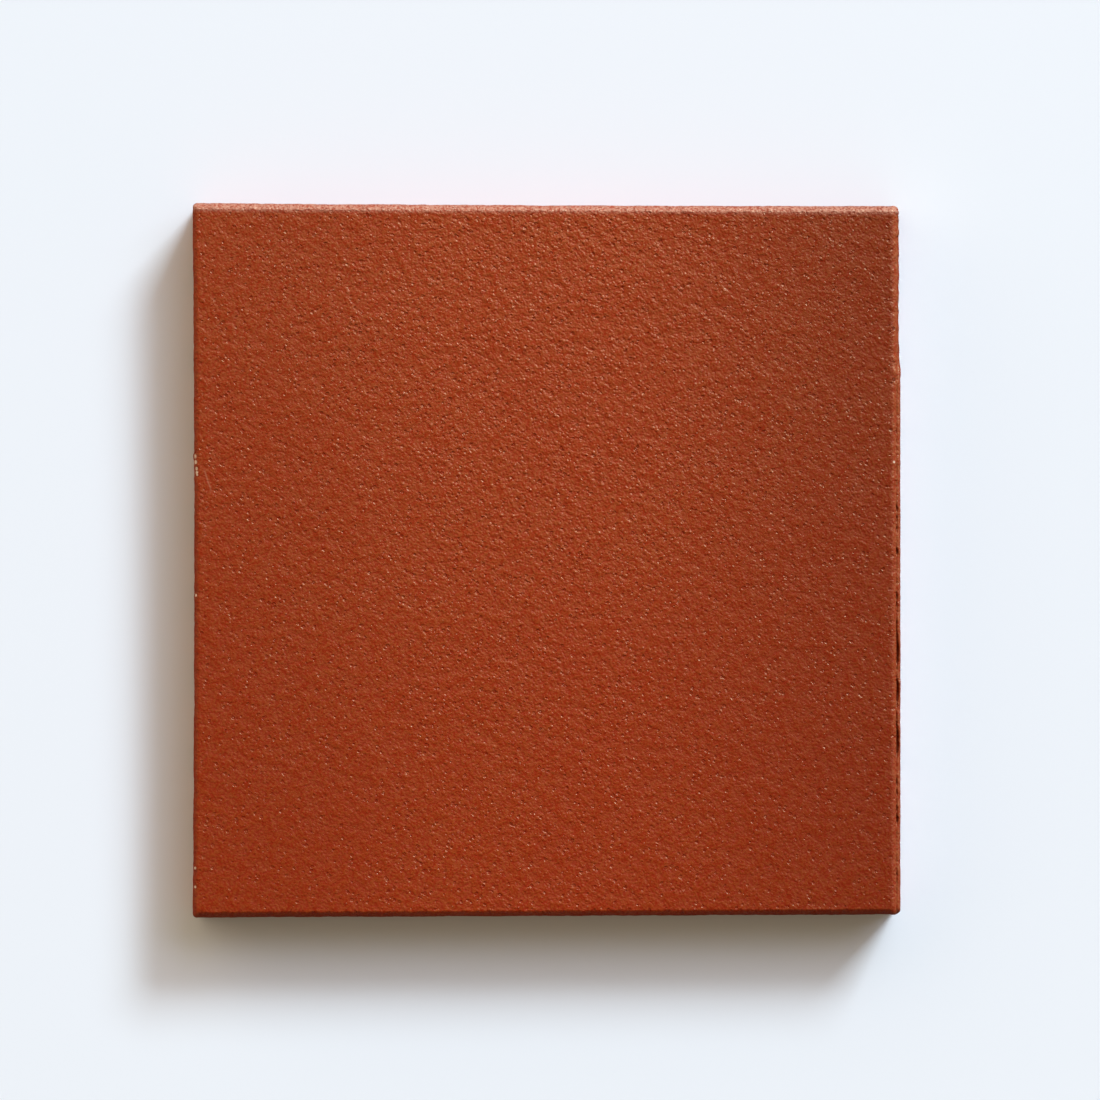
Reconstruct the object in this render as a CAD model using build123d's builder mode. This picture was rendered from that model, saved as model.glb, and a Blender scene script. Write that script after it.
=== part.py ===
"""An unglazed quarry tile: one slab of red clay, extruded in a ribbon, cut to length by a wire and fired.

X runs the way the clay left the die, from the left cut end to the right one, Y runs across the ribbon, and Z
goes up from the bed under the tile to the face that is walked on. The origin is in the middle of the bed.
"""

import os
from math import acos, degrees

from build123d import *

# The slab, in millimetres
length = 150.0  # over both cut ends, the smeared lip included
left_width = 151.4  # across the left cut end, which shrank a little less in the kiln
right_width = 150.0  # across the right cut end
thickness = 12.5  # from the bed to the wearing face
arris_radius = 1.2  # rounding round the wearing face and down the four corners
back_edge_radius = 0.6  # rounding round the back

# The keying grooves in the back, which grip the mortar and run the way of the extrusion
key_pitch = 17.0  # from one groove to the next
key_mouth = 8.0  # width of a groove where it opens on the back
key_depth = 1.3
key_flank_angle = 60.0  # degrees between the back and a groove's flank
key_root_radius = 0.5  # rounding between a flank and the groove's roof
key_margin = 8.0  # least width of flat back kept between the last groove and the tile's side

# The lip of clay that the wire smeared over the right cut end, just under the arris
lip_reach = 0.7  # how far it stands out from the cut end
lip_crease_drop = 0.2  # from the foot of the arris down to the crease behind the lip
lip_rise = 0.5  # from the crease up to the lip's crest
lip_height = 1.7  # from the crest down to the lip's underside
lip_crest = 0.3  # width of the crest
lip_round = 0.12  # rounding of the crest
lip_upper_gap = 30.0  # from the lip's upper end to the side of the tile
lip_lower_gap = 9.0  # from its lower end to the other side
lip_end_radius = 14.0  # bend by which each end of the lip sinks into the cut end

left_end = -length / 2
lip_face = length / 2
right_end = lip_face - lip_reach

key_reach = right_width / 2 - key_margin - key_mouth / 2
keys_per_side = int(key_reach / key_pitch + 0.5)

lip_root = right_end - arris_radius
lip_crease = thickness - arris_radius - lip_crease_drop
lip_top = lip_crease + lip_rise
lip_bottom = lip_top - lip_height
lip_start = right_width / 2 - lip_upper_gap
lip_stop = lip_lower_gap - right_width / 2
lip_end_turn = degrees(acos(1 - (lip_face - lip_root) / lip_end_radius))


def lip_section(at_y):
    """The lip's section across X and Z: a hook whose inner slope leaves a crease beside the cut end."""
    with BuildSketch(Plane.XZ.offset(-at_y)) as section:
        with BuildLine():
            Polyline(
                (lip_root, lip_bottom),
                (right_end, lip_bottom),
                (lip_face, lip_bottom + lip_reach),
                (lip_face, lip_top),
                (lip_face - lip_crest, lip_top),
                (right_end, lip_crease),
                (lip_root, lip_crease),
                close=True,
            )
        make_face()
        crest_corners = section.vertices().group_by(Axis.Z)[-1]
        fillet(crest_corners, lip_round)
    return section.sketch


with BuildSketch() as key_section:
    Trapezoid(key_mouth, key_depth, key_flank_angle, align=(Align.CENTER, Align.MIN))
    fillet(key_section.vertices().group_by(Axis.Y)[-1], key_root_radius)

with BuildPart() as quarry_tile:
    # The slab, a shade wider at its left cut end
    with BuildSketch():
        with BuildLine():
            Polyline(
                (left_end, -left_width / 2),
                (right_end, -right_width / 2),
                (right_end, right_width / 2),
                (left_end, left_width / 2),
                close=True,
            )
        make_face()
    extrude(amount=thickness)

    # Edges softened while the clay was wet
    corners = quarry_tile.edges().filter_by(Axis.Z)
    arrises = quarry_tile.faces().sort_by(Axis.Z)[-1].edges()
    fillet(corners + arrises, arris_radius)
    fillet(quarry_tile.faces().sort_by(Axis.Z)[0].edges(), back_edge_radius)

    # Keying grooves, an even number of them so that a flat rib runs down the middle of the back
    with BuildSketch(Plane.YZ.offset(left_end)):
        with GridLocations(key_pitch, 0, 2 * keys_per_side, 1):
            add(key_section.sketch)
    extrude(amount=length, mode=Mode.SUBTRACT)

    # The smeared lip: a straight run, and at each end a bend that sinks into the cut end
    extrude(lip_section(lip_start), amount=lip_start - lip_stop)
    for end_y, turn in ((lip_start, 1), (lip_stop, -1)):
        bend_axis = Axis((lip_face - lip_end_radius, end_y, 0), (0, 0, turn))
        revolve(lip_section(end_y), axis=bend_axis, revolution_arc=lip_end_turn)

quarry_tile.part.label = "quarry_tile"
os.makedirs("parts", exist_ok=True)
export_step(quarry_tile.part, "parts/quarry_tile.step")
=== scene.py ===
from math import cos, pi, radians, sin, tan

import bpy
import numpy as np
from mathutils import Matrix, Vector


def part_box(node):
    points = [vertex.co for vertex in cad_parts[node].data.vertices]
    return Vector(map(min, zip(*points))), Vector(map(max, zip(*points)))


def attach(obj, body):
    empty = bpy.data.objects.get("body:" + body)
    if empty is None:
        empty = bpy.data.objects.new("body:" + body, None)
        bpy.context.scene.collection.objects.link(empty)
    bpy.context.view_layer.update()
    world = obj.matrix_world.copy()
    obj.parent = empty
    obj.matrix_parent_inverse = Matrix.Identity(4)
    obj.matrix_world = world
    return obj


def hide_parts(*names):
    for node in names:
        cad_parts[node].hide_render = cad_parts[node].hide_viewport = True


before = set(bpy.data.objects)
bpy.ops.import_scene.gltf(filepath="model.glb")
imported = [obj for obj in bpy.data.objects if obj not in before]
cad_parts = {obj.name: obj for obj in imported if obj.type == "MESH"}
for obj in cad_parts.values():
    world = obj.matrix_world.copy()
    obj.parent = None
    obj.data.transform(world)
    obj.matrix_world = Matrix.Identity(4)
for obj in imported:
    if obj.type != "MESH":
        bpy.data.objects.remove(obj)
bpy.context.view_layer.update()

# The tile
# One slab of red-burning clay, pushed out of a die in a ribbon, cut to length by a wire and fired without a
# glaze. Its long sides are smooth from the die, its left and right ends are torn a little by the wire, and
# its back is grooved so that the mortar grips it.
mm = 0.001
tile_low, tile_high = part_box("quarry_tile")
thickness = tile_high[2] - tile_low[2]
bed = tile_low[2]
left_end, lip_face = tile_low[0], tile_high[0]
left_half = tile_high[1]
right_half = 75.05 * mm
lip_overhang = 0.35 * mm
right_end = lip_face - lip_overhang
die_arris = 1.3 * mm
left_arris = 1.15 * mm
right_arris = 1.9 * mm
narrowed_by_lip = 0.8 * mm
back_edge = 0.6 * mm
top_bow = 0.15 * mm
left_bow = 0.36 * mm
left_bow_fades = -50 * mm
box_clearance = 0.01 * mm

key_pitch = 17.0 * mm
key_mouth = 8.0 * mm
key_depth = 1.3 * mm
key_flank = 0.75 * mm
keys_per_side = 4
key_centres = (np.arange(2 * keys_per_side) - keys_per_side + 0.5) * key_pitch
key_reach = key_centres[-1] + key_mouth / 2

cells_along = 256
cells_across = 272
edge_cell = 0.12 * mm
back_step = 4
corner_steps = 8

clay_noise = np.random.default_rng(1907)


def soft_noise(shape, spacing, shortest, longest):
    """Random relief on a grid that repeats at its edges: white noise, kept only between two wavelengths by
    a smooth band in its spectrum, and scaled to a spread of one."""
    spectrum = np.fft.rfft2(clay_noise.standard_normal(shape))
    along = np.fft.fftfreq(shape[0], spacing[0])[:, None]
    across = np.fft.rfftfreq(shape[1], spacing[1])[None, :]
    pitch = np.hypot(along, across)
    band = np.exp(-((pitch * shortest) ** 4)) * (1 - np.exp(-((pitch * longest) ** 4)))
    relief = np.fft.irfft2(spectrum * band, shape)
    return (relief - relief.mean()) / relief.std()


def ease(value, start, stop):
    """A smooth step from 0 at start to 1 at stop."""
    t = np.clip((value - start) / (stop - start), 0, 1)
    return t * t * (3 - 2 * t)


def lines_between(start, stop, fixed, cells):
    """Lines from one edge of the face to the other, evenly spaced but nudged so that a line falls on each
    fixed place, with a narrow cell along either edge that keeps the turn into the arris crisp."""
    places = np.concatenate(([start, start + edge_cell], fixed, [stop - edge_cell, stop]))
    numbers = np.rint((places - start) / (stop - start) * cells)
    numbers[1], numbers[-2] = 1, cells - 1
    return np.interp(np.arange(cells + 1), numbers, places)


key_offsets = np.array([-key_mouth / 2, key_flank - key_mouth / 2, key_mouth / 2 - key_flank, key_mouth / 2])
key_edges = (key_centres[:, None] + key_offsets).ravel()
face_half = right_half - die_arris
lines_along = lines_between(left_end + left_arris, right_end - right_arris, [], cells_along)
lines_across = lines_between(-face_half, face_half, key_edges, cells_across)
cell = ((lines_along[-1] - lines_along[0]) / cells_along, 2 * face_half / cells_across)
grid_x, grid_y = np.meshgrid(lines_along, lines_across, indexing="ij")

# In plan the tile widens to the left, and its left end and upper side bow inwards a little
left_growth = (left_half - right_half) * (lines_along[-1] - grid_x) / (lines_along[-1] - lines_along[0])
margin = np.clip((np.abs(grid_y) - key_reach) / (face_half - key_reach), 0, 1)
upper_hollow = top_bow * (1 - (grid_x / right_half) ** 2) * (grid_y > 0)
left_hollow = left_bow * (1 - (grid_y / right_half) ** 2) * ease(grid_x, left_bow_fades, lines_along[0])
grid_y = grid_y + np.sign(grid_y) * margin * (left_growth - upper_hollow)
grid_x = grid_x + left_hollow

wave_height = 0.02 * mm
peel_height = 0.012 * mm


def wearing_face_relief():
    """How far the wearing face lies under a flat plane: the sum of a long waviness and an orange-peel of
    shallow lumps, let down until its highest place just touches the plane."""
    waves = wave_height * soft_noise(grid_x.shape, cell, 12 * mm, 60 * mm)
    peel = peel_height * soft_noise(grid_x.shape, cell, 1.6 * mm, 6 * mm)
    relief = waves + peel
    return relief - relief.max()


def key_height(y):
    """Height of the back at a place across the tile: nothing on the flat ribs, the depth of a keying groove
    inside it, and a straight flank between."""
    nearest = np.abs(y[..., None] - key_centres).min(-1)
    return key_depth * np.clip((key_mouth / 2 - nearest) / key_flank, 0, 1)


def ring(index):
    """The grid's outer ring of points, once round against the clock from the lower left, with each corner
    point repeated for the fan of directions that rounds the corner."""
    sides = (index[:, 0], index[-1, :], index[::-1, -1], index[0, ::-1])
    fans = [np.repeat(side[-1], corner_steps - 1) for side in sides]
    return np.concatenate([part for pair in zip(sides, fans) for part in pair])


def ring_angles():
    """Outward directions for the points of the ring: square to a side along it, turning evenly in the
    fans."""
    counts = (cells_along + 1, cells_across + 1, cells_along + 1, cells_across + 1)
    turn = np.arange(1, corner_steps) / corner_steps * pi / 2
    angles = []
    for side, count in enumerate(counts):
        facing = (side - 1) * pi / 2
        angles += [np.full(count, facing), facing + turn]
    return np.concatenate(angles)


face_index = np.arange(grid_x.size).reshape(grid_x.shape)
rim = ring(face_index)
rim_angle = ring_angles()
out_x, out_y = np.cos(rim_angle), np.sin(rim_angle)
rim_count = rim.size

# The edge between the face and the arris wanders in and out a little
edge_wander = 0.07 * mm
even_x, even_y = grid_x.ravel()[rim], grid_y.ravel()[rim]
for edge in ((0, 1), (-1, -2)):
    grid_x[edge, :] += edge_wander * soft_noise((1, cells_across + 1), (1.0, cell[1]), 1.0 * mm, 6 * mm)
    grid_y[:, edge] += edge_wander * soft_noise((cells_along + 1, 1), (cell[0], 1.0), 1.0 * mm, 6 * mm)
rim_x, rim_y = grid_x.ravel()[rim], grid_y.ravel()[rim]
rim_wander = (rim_x - even_x) * out_x + (rim_y - even_y) * out_y

face_drop = wearing_face_relief()
face_points = np.stack([grid_x, grid_y, thickness + face_drop], -1).reshape(-1, 3)
rim_drop = face_drop.ravel()[rim]

# Which side of the tile a place on the rim belongs to, as shares that add up to one and swap over in the
# corners
on_right, on_left = np.clip(out_x, 0, 1) ** 2, np.clip(-out_x, 0, 1) ** 2
on_die_side = out_y**2


def swelling(middle, half_run, power):
    """A swelling along the rim, one at its middle and nothing far from it: a bell over the distance in
    half-runs, raised to an even power that makes its top flatter as it grows. Places are in millimetres."""
    return np.exp(-(((rim_y / mm - middle) / half_run) ** power))


# Where the wire smeared a lip over the right cut end, and how far the crease behind it is torn open: middle
# and half-length of each tear along the end, and its openness
lip_begins, lip_whole = 50 * mm, 36 * mm
tears = (
    (-19.2, 2.9, 1.0),
    (-14.4, 2.2, 0.30),
    (-27.8, 2.4, 1.0),
    (-33.0, 0.7, 0.25),
    (-35.0, 0.5, 0.5),
    (-38.3, 2.7, 1.0),
    (-47.0, 0.5, 0.45),
    (-49.0, 0.6, 0.40),
    (-52.6, 0.7, 0.35),
    (-54.8, 0.9, 0.7),
    (-67.2, 1.6, 0.2),
    (-9.4, 0.5, 0.4),
    (-7.6, 0.5, 0.5),
    (1.8, 0.6, 0.8),
    (6.7, 0.4, 0.4),
    (9.0, 0.5, 0.45),
    (11.1, 0.5, 0.7),
    (48.9, 0.4, 0.6),
)
stray_opening = 0.02
tear_raggedness = 0.1
widest_tear = 1.1
lip_here = on_right**4 * ease(rim_y, lip_begins, lip_whole)
tear_here = sum(wide * swelling(middle, half_run, 4) for middle, half_run, wide in tears)
tear_noise = soft_noise((rim_count, 1), (cell[0], 1.0), 1.2 * mm, 5 * mm)[:, 0]
openness = stray_opening * tear_noise + tear_here * (1 + tear_raggedness * tear_noise)
openness = np.clip(openness, 0, widest_tear)

# The sides wobble inwards, in long waves and in short ones, but less along the lip
long_wave, short_wave = 0.03 * mm, 0.022 * mm
steadied_by_lip = 0.6
long_wobble = soft_noise((rim_count, 1), (cell[0], 1.0), 9 * mm, 60 * mm)[:, 0]
short_wobble = soft_noise((rim_count, 1), (cell[0], 1.0), 1.6 * mm, 7 * mm)[:, 0]
wobble = long_wave * (long_wobble - 1) + short_wave * (1 + on_right) * (short_wobble - 1)
wobble = np.minimum(wobble, 0) * (1 - steadied_by_lip * lip_here)

# The arris starts with a crisp turn out of the wearing face and ends in the wall: its width, and its slope
# in degrees under the face where it starts and where it ends. The die leaves a dulled bevel, the wire a
# rounder edge. A nodule of clay bulges out of the right end, and a lodged grain out of the left one.
die_start, left_start, right_start = 30, 15, 4
die_finish, left_finish, right_finish = 72, 78, 66
flattened_by_lip = 22
nodule_bulge, nodule_rise = 0.22 * mm, 0.26 * mm
left_grain_bulge = 0.28 * mm
nodule_here = on_right * swelling(39.9, 0.9, 2)
left_grain_here = on_left * swelling(22.0, 0.5, 2)
right_width = right_arris - narrowed_by_lip * lip_here
arris_width = die_arris * on_die_side + left_arris * on_left + right_width * on_right
arris_width = arris_width - rim_wander + nodule_bulge * nodule_here + left_grain_bulge * left_grain_here
right_turn = right_start * (1 - lip_here)
start_slope = np.radians(die_start * on_die_side + left_start * on_left + right_turn * on_right)
right_slope = right_finish - flattened_by_lip * lip_here
end_slope = np.radians(die_finish * on_die_side + left_finish * on_left + right_slope * on_right)
squareness = 3.0
corner_fill = (np.abs(out_x) ** squareness + np.abs(out_y) ** squareness) ** (-1 / squareness)

# Lumps of torn clay on the arris of the right end, deepest where there is no lip
arris_rows = 6
row_spacing = 0.3 * mm
torn_lumps, lip_lumps = 0.13 * mm, 0.03 * mm
lump_noise = soft_noise((rim_count, 4 * arris_rows), (cell[0], row_spacing), 1.1 * mm, 4 * mm)
lump_noise = lump_noise[:, :arris_rows].T
off_lip = np.clip(on_right - lip_here, 0, 1)
lumps_down = torn_lumps * off_lip + lip_lumps * on_right - nodule_rise * nodule_here

# The lip's section, from the foot of the arris down: out and down in millimetres, first where the crease
# behind it is torn open and then where it is closed
torn_and_closed = (
    ((0.20, 0.14), (0.05, 0.10)),
    ((0.24, 1.40), (0.14, 0.24)),
    ((0.70, 1.40), (0.24, 0.28)),
    ((0.76, 0.40), (0.36, 0.20)),
    ((0.90, 0.18), (0.62, 0.24)),
    ((1.04, 0.22), (0.88, 0.44)),
    ((1.11, 0.45), (1.08, 0.80)),
    ((1.10, 1.00), (1.11, 1.40)),
    ((0.80, 1.60), (0.80, 1.80)),
    ((0.70, 2.10), (0.70, 2.10)),
)
first_row_down, last_row_down = 0.15, 2.1
wall_shares = (0.33, 0.67, 1.0)
back_edge_steps = 3


def wall_profile():
    """The side of the tile, row by row from the wearing face down to the back: for each row, how far out it
    lies from the rim and how high. An arc between two slopes makes the arris. Then come the torn crease and
    the hook of the lip where there is one, or a straight wall, and a quarter round at the back."""
    square_to_cut_end = np.abs(out_x) > 0.99
    bottom = bed + np.where(square_to_cut_end, key_height(rim_y), 0)
    arc = (arris_width + wobble) / (np.sin(end_slope) - np.sin(start_slope))
    rows = []
    for share, lump in zip(np.arange(1, arris_rows + 1) / arris_rows, lump_noise):
        slope = start_slope + share * (end_slope - start_slope)
        out = arc * (np.sin(slope) - np.sin(start_slope))
        down = arc * (np.cos(start_slope) - np.cos(slope)) + lumps_down * share * (1 + lump)
        rows.append((out, thickness + rim_drop - down))
    foot_out, foot = rows[-1]
    straight = np.linspace(first_row_down, last_row_down, len(torn_and_closed)) * mm
    for (torn, closed), down in zip(torn_and_closed, straight):
        hook_out, hook_down = (mm * (c + openness * (t - c)) for t, c in zip(torn, closed))
        rows.append((foot_out + lip_here * hook_out, foot - down + lip_here * (down - hook_down)))
    wall_out, wall_top = rows[-1]
    for share in wall_shares:
        rows.append((wall_out, wall_top + share * (bottom + back_edge - wall_top)))
    for slope in np.linspace(0, pi / 2, back_edge_steps + 1)[1:]:
        rows.append((wall_out - back_edge * (1 - cos(slope)), bottom + back_edge * (1 - sin(slope))))
    return np.array([[row_out * corner_fill, row_height] for row_out, row_height in rows])


profile = wall_profile()
wall_out, wall_height = profile[:, 0], profile[:, 1]
wall_x = np.minimum(rim_x + out_x * wall_out, lip_face - box_clearance)
wall_y = np.clip(rim_y + out_y * wall_out, tile_low[1] + box_clearance, tile_high[1] - box_clearance)
wall_points = np.stack([wall_x, wall_y, wall_height], -1).reshape(-1, 3)

# The back keeps every line across the tile, but along it only as many as straight grooves need
used = np.zeros(grid_x.shape, bool)
used[:: back_step**2, :] = True
used[::back_step, [1, -2]] = True
used[:, [0, -1]] = True
back_points = np.stack([grid_x[used], grid_y[used], bed + key_height(grid_y[used])], -1)
wall_start = len(face_points)
back_start = wall_start + len(wall_points)
back_index = np.full(grid_x.shape, -1)
back_index[used] = back_start + np.arange(len(back_points))


def grid_quads(index):
    """Four-sided faces over a grid of point numbers, one to each cell, facing up."""
    corners = (index[:-1, :-1], index[1:, :-1], index[1:, 1:], index[:-1, 1:])
    return np.stack(corners, -1).reshape(-1, 4)


def quads_between(lower, upper):
    """Four-sided faces between two rows of points that run side by side."""
    return np.stack([lower[:-1], lower[1:], upper[1:], upper[:-1]], -1)


def fan_between(fine, rough):
    """Triangles between a row of points and a row with a quarter as many."""
    a, b = rough[:-1], rough[1:]
    f = [fine[k : fine.size - back_step + k : back_step] for k in range(back_step + 1)]
    corners = ((a, f[1], f[0]), (a, f[2], f[1]), (a, b, f[2]), (b, f[3], f[2]), (b, f[4], f[3]))
    return np.concatenate([np.stack(corner, -1) for corner in corners])


wall_rings = [wall_start + k * rim_count + np.arange(rim_count) for k in range(len(profile))]
rings = [np.append(r, r[0]) for r in [rim, *wall_rings, ring(back_index)]]
wall_quads = [quads_between(below, above) for above, below in zip(rings[:-1], rings[1:])]
back_quads = grid_quads(back_index[:: back_step**2, 2:-2])[:, ::-1]
back_fans = []
for edge, inwards in ((0, 1), (-1, -1)):
    levels = [back_index[:: back_step**k, edge + k * inwards] for k in range(3)]
    for fine, rough in zip(levels[:-1], levels[1:]):
        back_fans.append(fan_between(fine, rough)[:, ::inwards])

# In the fans of the corners a quad shrinks to a triangle where a corner point repeats
quads = np.concatenate([grid_quads(face_index), *wall_quads, back_quads])
pinched_below = quads[:, 0] == quads[:, 1]
pinched_above = quads[:, 2] == quads[:, 3]
triangles = np.concatenate([quads[pinched_below][:, 1:], quads[pinched_above][:, :3], *back_fans])
points = np.concatenate([face_points, wall_points, back_points])
polygons = quads[~pinched_below & ~pinched_above].tolist() + triangles.tolist()

tile_mesh = bpy.data.meshes.new("quarry_tile_body")
tile_mesh.from_pydata(points.tolist(), [], polygons)
tile_mesh.polygons.foreach_set("use_smooth", np.ones(len(polygons), bool))
tile_mesh.update()
tile = bpy.data.objects.new("quarry_tile_body", tile_mesh)
bpy.context.scene.collection.objects.link(tile)


class NodeSheet:
    """A short way to lay out shader nodes: each call adds a node, sets its options and links its inputs."""

    def __init__(self, tree):
        self.tree = tree

    def add(self, kind, inputs=(), **options):
        node = self.tree.nodes.new("ShaderNode" + kind)
        for option, value in options.items():
            setattr(node, option, value)
        for name, value in dict(inputs).items():
            if isinstance(value, bpy.types.NodeSocket):
                self.tree.links.new(value, node.inputs[name])
            else:
                node.inputs[name].default_value = value
        return node

    def maths(self, operation, *values):
        """One operation on numbers."""
        return self.add("Math", enumerate(values), operation=operation).outputs[0]

    def step(self, value, start, stop, low=0.0, high=1.0):
        """A smooth step from low at start to high at stop."""
        inputs = {"Value": value, "From Min": start, "From Max": stop, "To Min": low, "To Max": high}
        return self.add("MapRange", inputs, interpolation_type="SMOOTHSTEP").outputs["Result"]

    def tint(self, factor, colour_a, colour_b, blend="MIX"):
        """The first colour, turned into its blend with the second by a factor. The node's sockets for colours
        are the sixth and the seventh, counted from nought, and its output for them the second."""
        node = self.add("Mix", {"Factor": factor}, data_type="RGBA", blend_type=blend)
        for socket, value in ((6, colour_a), (7, colour_b)):
            if isinstance(value, bpy.types.NodeSocket):
                self.tree.links.new(value, node.inputs[socket])
            else:
                node.inputs[socket].default_value = (*value, 1)
        return node.outputs[2]


clay = bpy.data.materials.new("fired_red_clay")
clay.use_nodes = True
sheet = NodeSheet(clay.node_tree)
shader = clay.node_tree.nodes["Principled BSDF"]
place = sheet.add("TexCoord").outputs["Object"]

# Relief too fine for the mesh, as heights in millimetres: a close grain all over, broad shallow lumps, grit
# that stands out of it here and there, and pits where grit was dragged out
grain_size, grain_relief = 0.50 * mm, 0.20
lump_size, lump_relief = 2.0 * mm, 0.34
grit_spacing, grit_relief, pit_relief = 0.98 * mm, 0.075, 0.14
askew = sheet.add("Mapping", {"Vector": place, "Rotation": (0.61, 0.43, 0.52)}).outputs["Vector"]
grain = sheet.add("TexNoise", {"Vector": askew, "Scale": 1 / grain_size, "Detail": 1.0}).outputs["Fac"]
lumps = sheet.add("TexNoise", {"Vector": askew, "Scale": 1 / lump_size, "Detail": 1.0}).outputs["Fac"]
spot = sheet.add("SeparateXYZ", {"Vector": place}).outputs

# Grit and pits are strewn at random, one to a cell of this spacing. Each is flat-topped, with a radius drawn
# by lot, a narrow rim and a ragged outline where the grain pushes it in and out. A second lot says which it
# is, and a third makes a few of them pale specks.
raggedness = 0.30
smallest_grit, largest_grit, grit_rim = 0.36, 0.66, 0.22
cells = sheet.add("TexVoronoi", {"Vector": askew, "Scale": 1 / grit_spacing})
lots = sheet.add("SeparateColor", {"Color": cells.outputs["Color"]}).outputs
ragged = sheet.maths("MULTIPLY_ADD", grain, raggedness, cells.outputs["Distance"])
radius = sheet.step(lots["Red"], 0.0, 1.0, smallest_grit, largest_grit)
raised = sheet.step(ragged, radius, sheet.maths("SUBTRACT", radius, grit_rim))
grit = sheet.maths("MULTIPLY", raised, sheet.step(lots["Green"], 0.44, 0.48))
pit = sheet.maths("MULTIPLY", raised, sheet.step(lots["Green"], 0.40, 0.36))
speck = sheet.maths("MULTIPLY", sheet.step(ragged, 0.34, 0.16), sheet.step(lots["Blue"], 0.86, 0.90))

lodged_depth = 0.4 * mm


def largest(marks):
    """The greatest of several marks at each place."""
    together = marks[0]
    for mark in marks[1:]:
        together = sheet.maths("MAXIMUM", together, mark)
    return together


def lodged(x, y, size):
    """A round mark at a place on the edge of the wearing face, fading out from half its size to its size, all
    in millimetres."""
    there = (x * mm, y * mm, thickness - lodged_depth)
    away = sheet.add("VectorMath", {0: place, 1: there}, operation="DISTANCE").outputs["Value"]
    return sheet.step(away, size * mm, size / 2 * mm)


def scored(x, y, turn, half_run, half_width):
    """A scratch in the wearing face: in coordinates moved to its middle and turned along it, a ridge across
    its width that fades out towards its ends. Places are in millimetres, the turn in degrees."""
    there = {"Vector": place, "Location": (x * mm, y * mm, 0), "Rotation": (0, 0, radians(turn))}
    turned = sheet.add("Mapping", there, vector_type="TEXTURE").outputs[0]
    along = sheet.add("SeparateXYZ", {"Vector": turned}).outputs
    run = sheet.step(sheet.maths("ABSOLUTE", along["X"]), half_run * mm, half_run / 2 * mm)
    across = sheet.step(sheet.maths("ABSOLUTE", along["Y"]), half_width * mm, 0.0)
    return sheet.maths("MULTIPLY", run, across)


# Marks of this one tile: pale grains lodged in both cut ends, holes where others fell out, a wrinkle near the
# upper right corner and a scratch near the left end. The holes and the wrinkle are darkened with painted
# shade.
pale_grains = largest([
    lodged(-74.7, 22.0, 0.80),
    lodged(-74.4, 20.8, 0.60),
    lodged(-74.1, 19.4, 0.48),
    lodged(-74.0, 18.6, 0.45),
    lodged(-73.9, 18.1, 0.35),
    lodged(-74.3, -7.4, 0.45),
    lodged(-74.4, -65.1, 0.40),
    lodged(-74.4, -69.1, 0.40),
    lodged(73.5, 20.8, 0.35),
])
holes = largest([lodged(73.4, 38.2, 0.60), lodged(72.8, 27.6, 0.55), lodged(73.4, 49.0, 0.55)])
wearing_side = sheet.step(spot["Z"], thickness - 3 * mm, thickness - 2 * mm)
wrinkle = scored(68.9, 72.3, turn=-16, half_run=1.9, half_width=0.35)
wrinkle = sheet.maths("MULTIPLY", wrinkle, wearing_side)
scratch = scored(-71.7, 17.0, turn=-72, half_run=3.0, half_width=0.30)
scratch = sheet.maths("MULTIPLY", scratch, wearing_side)
pit = sheet.maths("MAXIMUM", pit, holes)

# The heights added up. The relief is strongest midway between the ends and towards the upper side.
grain_height = sheet.maths("MULTIPLY", grain, grain_relief)
lump_height = sheet.maths("MULTIPLY_ADD", lumps, lump_relief, grain_height)
grit_height = sheet.maths("MULTIPLY_ADD", grit, grit_relief, lump_height)
speck_height = sheet.maths("MULTIPLY_ADD", speck, grit_relief, grit_height)
height = sheet.maths("MULTIPLY_ADD", pit, -pit_relief, speck_height)
off_middle = sheet.maths("ABSOLUTE", spot["X"])
dragged_along = sheet.step(off_middle, 75 * mm, 0.0, 0.70, 1.0)
dragged_across = sheet.step(spot["Y"], -90 * mm, 70 * mm, 0.72, 1.10)
dragged = sheet.maths("MULTIPLY", dragged_along, dragged_across)
bump = sheet.add("Bump", {"Height": height, "Distance": mm, "Strength": dragged})
clay.node_tree.links.new(bump.outputs["Normal"], shader.inputs["Normal"])

# Colour: red clay, lighter on the crests of the grain than between them, partly its own tone and partly
# painted shade in the hollows, in faint patches, darker towards the right end and a little towards the left,
# with painted sheen growing towards the upper side, painted shade in the pits and holes, and pale on the
# specks. Painted highlights lie on the upper arris and, fainter, on the arris of the right end.
clay_red = (0.340, 0.0455, 0.0058)
clay_deep = (0.308, 0.0140, 0.0003)
pale_grit = (0.50, 0.20, 0.11)
painted_arris_highlight = (0.47, 0.195, 0.128)
painted_end_highlight = (0.40, 0.150, 0.060)
cream_grain = (0.72, 0.52, 0.36)
end_tint = (0.65, 0.58, 0.50)
lower_sheen_tint = (0.93, 0.90, 0.74)
upper_sheen_tint = (1.03, 1.34, 2.10)
pit_shade_tint = (0.6, 0.20, 0.1)
hole_shade_tint = (0.45, 0.25, 0.15)
wrinkle_shade_tint = (0.5, 0.4, 0.3)
patch_size = 36 * mm
patches = sheet.add("TexNoise", {"Vector": place, "Scale": 1 / patch_size, "Detail": 2.0}).outputs["Fac"]
right_shade = sheet.step(spot["X"], 5 * mm, 85 * mm)
right_shade = sheet.maths("MULTIPLY", right_shade, sheet.step(spot["Y"], -60 * mm, 75 * mm, 0.75, 1.0))
right_shade = sheet.maths("MULTIPLY", right_shade, sheet.step(spot["X"], 73.8 * mm, 72.7 * mm, 0.15, 1.0))
left_shade = sheet.step(spot["X"], -15 * mm, -60 * mm, 0.0, 0.25)
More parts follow.
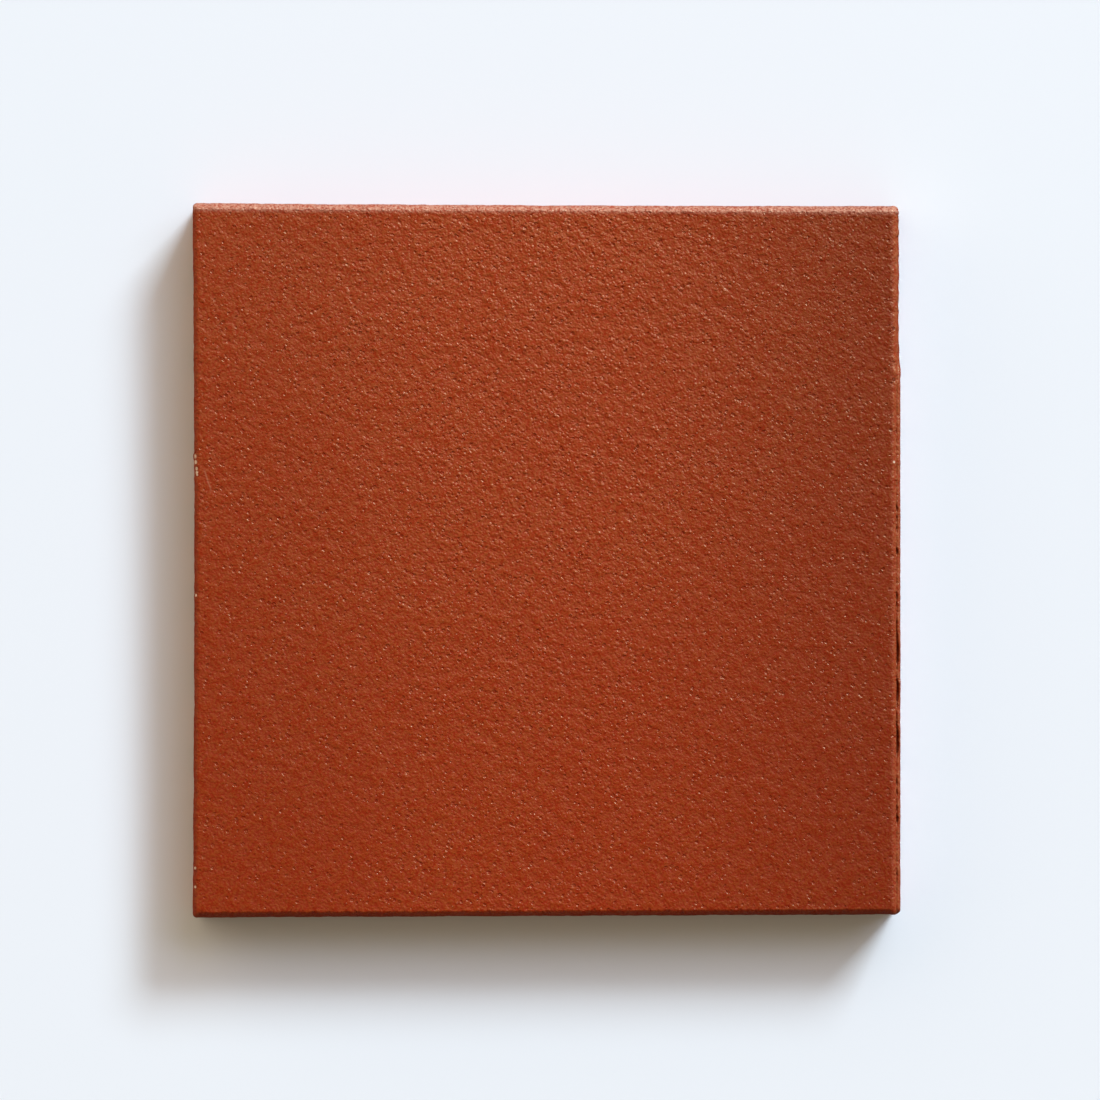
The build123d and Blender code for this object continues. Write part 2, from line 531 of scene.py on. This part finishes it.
# The crests are paler and the hollows a deeper red: partly the clay's own tone, partly painted shade in the
# hollows
crest = sheet.step(grain, 0.30, 0.72)
colour = sheet.tint(crest, clay_deep, clay_red)
colour = sheet.tint(sheet.step(patches, 0.3, 0.7, 0.0, 0.2), colour, clay_deep)
colour = sheet.tint(sheet.maths("ADD", right_shade, left_shade), colour, end_tint, "MULTIPLY")
# Painted sheen: paler and less red towards the upper side, where the lamps' sheen is stronger
along_y = sheet.step(spot["Y"], -75 * mm, 75 * mm)
colour = sheet.tint(1.0, colour, sheet.tint(along_y, lower_sheen_tint, upper_sheen_tint), "MULTIPLY")
colour = sheet.tint(sheet.maths("MULTIPLY", speck, 0.5), colour, pale_grit)
# Painted shade in the pits
colour = sheet.tint(sheet.maths("MULTIPLY", pit, 0.25), colour, pit_shade_tint, "MULTIPLY")
near_top = sheet.step(spot["Z"], thickness - 2.2 * mm, thickness - 1.6 * mm)
near_top = sheet.maths("MULTIPLY", near_top, sheet.step(grain, 0.30, 0.65, 0.2, 1.0))
taper = (left_half - right_half) / (lines_along[-1] - lines_along[0])
towards_upper_side = sheet.maths("MULTIPLY_ADD", spot["X"], taper, spot["Y"])
at_upper_side = sheet.step(towards_upper_side, 72.95 * mm, 74.55 * mm)
# Painted highlights where the lamps' sheen falls: faint on the arris of the right end, stronger on the upper
# arris
at_right_end = sheet.step(spot["X"], 72.8 * mm, 74.2 * mm, 0.0, 0.30)
colour = sheet.tint(sheet.maths("MULTIPLY", near_top, at_right_end), colour, painted_end_highlight)
colour = sheet.tint(sheet.maths("MULTIPLY", near_top, at_upper_side), colour, painted_arris_highlight)
# Painted shade in the holes
colour = sheet.tint(sheet.maths("MULTIPLY", holes, 0.6), colour, hole_shade_tint, "MULTIPLY")
colour = sheet.tint(sheet.maths("MULTIPLY", scratch, 0.35), colour, pale_grit)
# Painted shade along the wrinkle, which has no relief of its own
colour = sheet.tint(sheet.maths("MULTIPLY", wrinkle, 0.45), colour, wrinkle_shade_tint, "MULTIPLY")
colour = sheet.tint(sheet.maths("MULTIPLY", pale_grains, 0.8), colour, cream_grain)
clay.node_tree.links.new(colour, shader.inputs["Base Color"])

# The sheen is a little duller in the hollows than on the lumps
dull_hollow, smooth_lump = 0.46, 0.38
roughness = sheet.step(lumps, 0.35, 0.65, dull_hollow, smooth_lump)
clay.node_tree.links.new(roughness, shader.inputs["Roughness"])
shader.inputs["Specular IOR Level"].default_value = 0.75
shader.inputs["Specular Tint"].default_value = (1.0, 0.80, 0.46, 1)
tile_mesh.materials.append(clay)
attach(tile, "root")
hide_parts("quarry_tile")

# The floor
# A plain sheet of white card that the tile lies on loose. It is matt, so that the shadow lies on it softly,
# and it doesn't show in the sheen of the clay. It lies a hair lower than the ribs of the back, so that the
# two don't share a plane.
floor_half = 3.0
floor_height = bed - 0.02 * mm
card_white = (0.82, 0.83, 0.84, 1)
corners = ((-1, -1), (1, -1), (1, 1), (-1, 1))
floor_corners = [(floor_half * x, floor_half * y, floor_height) for x, y in corners]
floor_mesh = bpy.data.meshes.new("floor")
floor_mesh.from_pydata(floor_corners, [], [(0, 1, 2, 3)])
floor = bpy.data.objects.new("floor", floor_mesh)
floor.visible_glossy = False
bpy.context.scene.collection.objects.link(floor)
card = bpy.data.materials.new("white_card")
card.use_nodes = True
card_shader = card.node_tree.nodes["Principled BSDF"]
card_shader.inputs["Base Color"].default_value = card_white
card_shader.inputs["Roughness"].default_value = 0.9
card_shader.inputs["Specular IOR Level"].default_value = 0.0
floor_mesh.materials.append(card)

# The light
# A lamp low on the upper right throws the soft shadow, and a wider bank above it softens it. The studio is
# dim, apart from a bright wall on the upper left that lights the shadow beside the left end. Its walls and
# ceiling don't show in the sheen of the clay.
scene = bpy.context.scene
lamp_distance = 14.0


def lamp(name, azimuth, elevation, spread, power, colour):
    """A flat lamp that faces the tile from an azimuth and an elevation, and spreads over an angle across and
    up, so that each side is twice its distance times the tangent of half that angle."""
    data = bpy.data.lights.new(name, "AREA")
    data.shape = "RECTANGLE"
    data.size, data.size_y = (2 * lamp_distance * tan(radians(angle) / 2) for angle in spread)
    data.energy = power
    data.color = colour
    turn, rise = radians(azimuth), radians(elevation)
    stand = bpy.data.objects.new(name, data)
    stand.location = lamp_distance * np.array([cos(rise) * cos(turn), cos(rise) * sin(turn), sin(rise)])
    stand.rotation_euler = (pi / 2 - rise, 0, turn + pi / 2)
    scene.collection.objects.link(stand)


lamp("key_lamp", azimuth=55.5, elevation=26.5, spread=(20, 13), power=2260.0, colour=(0.825, 1.0, 1.16))
lamp("bank_lamp", azimuth=52, elevation=42, spread=(50, 28), power=780.0, colour=(0.90, 1.0, 1.30))

# A strip lamp close to the right end makes up, on the card alone, for what the tile hides of the bright wall
strip_width = 1 * mm
strip_gap = 2.5 * mm
strip_height = 13 * mm
strip_power = 0.0020
strip_colour = (0.88, 1.0, 0.94)
strip_data = bpy.data.lights.new("strip_lamp", "AREA")
strip_data.shape = "RECTANGLE"
strip_data.size, strip_data.size_y = strip_width, 2 * right_half
strip_data.energy = strip_power
strip_data.color = strip_colour
strip = bpy.data.objects.new("strip_lamp", strip_data)
strip.location = (lip_face + strip_gap, 0, bed + strip_height)
strip.visible_camera = False
lit_by_strip = bpy.data.collections.new("lit_by_strip")
lit_by_strip.objects.link(floor)
strip.light_linking.receiver_collection = lit_by_strip
scene.collection.objects.link(strip)

# The bright wall fades out to either side of its azimuth and above its top, and the ceiling closes the room
wall_colour = (0.23, 0.195, 0.15)
bright_wall_colour = (2.0, 1.64, 1.27)
bright_wall_azimuth = radians(145)
bright_wall_fades, bright_wall_top = sin(radians(30)), sin(radians(60))
ceiling_colour = (0.22, 0.19, 0.10)
ceiling_edge, ceiling_whole = sin(radians(45)), sin(radians(70))
studio = bpy.data.worlds.new("studio")
studio.use_nodes = True
scene.world = studio
studio.cycles_visibility.glossy = False
room = NodeSheet(studio.node_tree)
looking = room.add("TexCoord").outputs["Generated"]
upwards = room.add("SeparateXYZ", {"Vector": looking}).outputs["Z"]
level = room.add("VectorMath", {0: looking, 1: (1, 1, 0)}, operation="MULTIPLY").outputs[0]
level = room.add("VectorMath", {0: level}, operation="NORMALIZE").outputs[0]
to_wall = (cos(bright_wall_azimuth), sin(bright_wall_azimuth), 0)
wall_share = room.add("VectorMath", {0: level, 1: to_wall}, operation="DOT_PRODUCT").outputs["Value"]
wall_share = room.maths("POWER", room.maths("MAXIMUM", wall_share, 0.0), 2.0)
wall_share = room.maths("MULTIPLY", wall_share, room.step(upwards, bright_wall_top, bright_wall_fades))
glow = room.tint(wall_share, wall_colour, bright_wall_colour)
glow = room.tint(room.step(upwards, ceiling_edge, ceiling_whole), glow, ceiling_colour)
studio.node_tree.links.new(glow, studio.node_tree.nodes["Background"].inputs["Color"])
scene.view_settings.view_transform = "Standard"

# The camera
# It hangs over the tile and looks straight down. Its lens and its place give the photograph's scale, and put
# the tile where the photograph has it.
frame_pixels = 1100
pixels_per_metre = 4728
tile_centre_pixel = (546.6, 560.3)
camera_height = 1.4
camera_data = bpy.data.cameras.new("camera")
camera_data.lens = camera_data.sensor_width * camera_height * pixels_per_metre / frame_pixels
camera = bpy.data.objects.new("camera", camera_data)
camera.location = (
    (frame_pixels / 2 - tile_centre_pixel[0]) / pixels_per_metre,
    (tile_centre_pixel[1] - frame_pixels / 2) / pixels_per_metre,
    thickness + camera_height,
)
scene.collection.objects.link(camera)
scene.camera = camera
